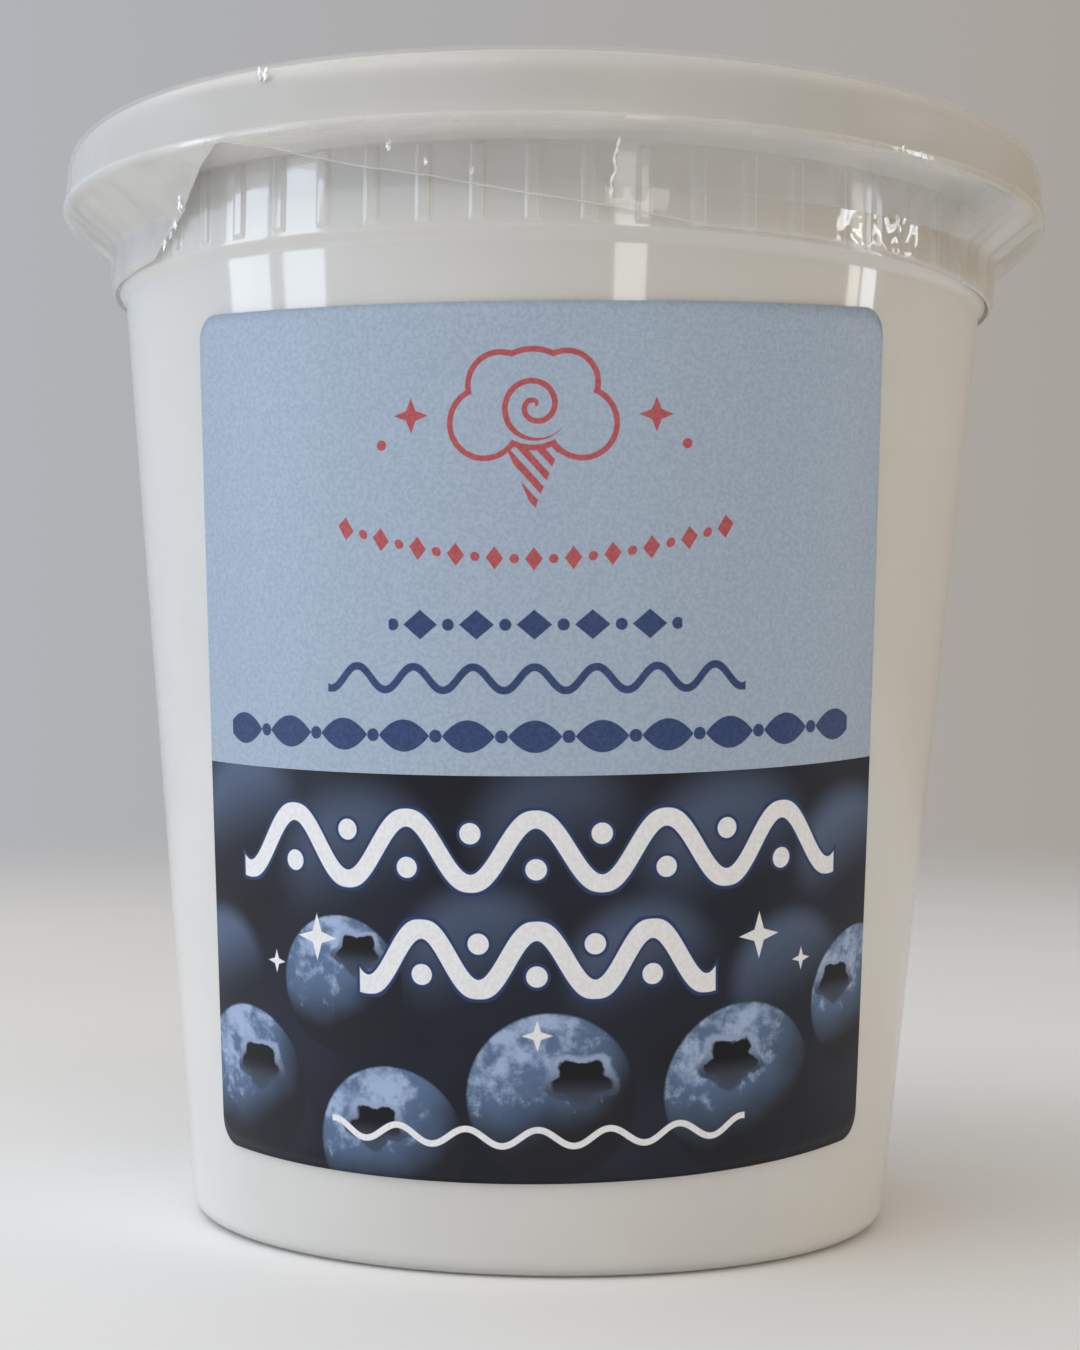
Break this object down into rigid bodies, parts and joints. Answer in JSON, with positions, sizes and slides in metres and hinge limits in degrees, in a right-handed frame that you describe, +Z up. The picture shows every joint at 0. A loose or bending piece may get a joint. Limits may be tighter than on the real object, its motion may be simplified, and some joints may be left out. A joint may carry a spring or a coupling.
{
  "type": "tub of cotton candy",
  "caption": "Shut clear plastic deli tub packed with white cotton candy, with a press-fit lid, a clear shrink band over its rim and a wrapped front label.",
  "frame": {"origin": "middle of the tub's foot, on the surface that it stands on", "axes": "+Z up along the tub's axis, -Y out through the label, +X to the right when facing the label"},
  "size_m": [0.1232, 0.1232, 0.1311],
  "materials": {
    "clear_plastic": "thin clear polypropylene, slightly milky, glossy",
    "lid_plastic": "hazy translucent lid plastic with a soft gloss",
    "clear_film": "clear shrink film, glossy and finely crinkled",
    "label_paper": "printed satin label, light blue above and dark berry blue below",
    "spun_sugar": "soft white spun sugar, packed"
  },
  "bodies": {
    "root": {"tub": "clear_plastic", "lid": "lid_plastic", "shrink_band": "clear_film", "label": "label_paper", "cotton_candy": "spun_sugar"}
  },
  "joints": []
}
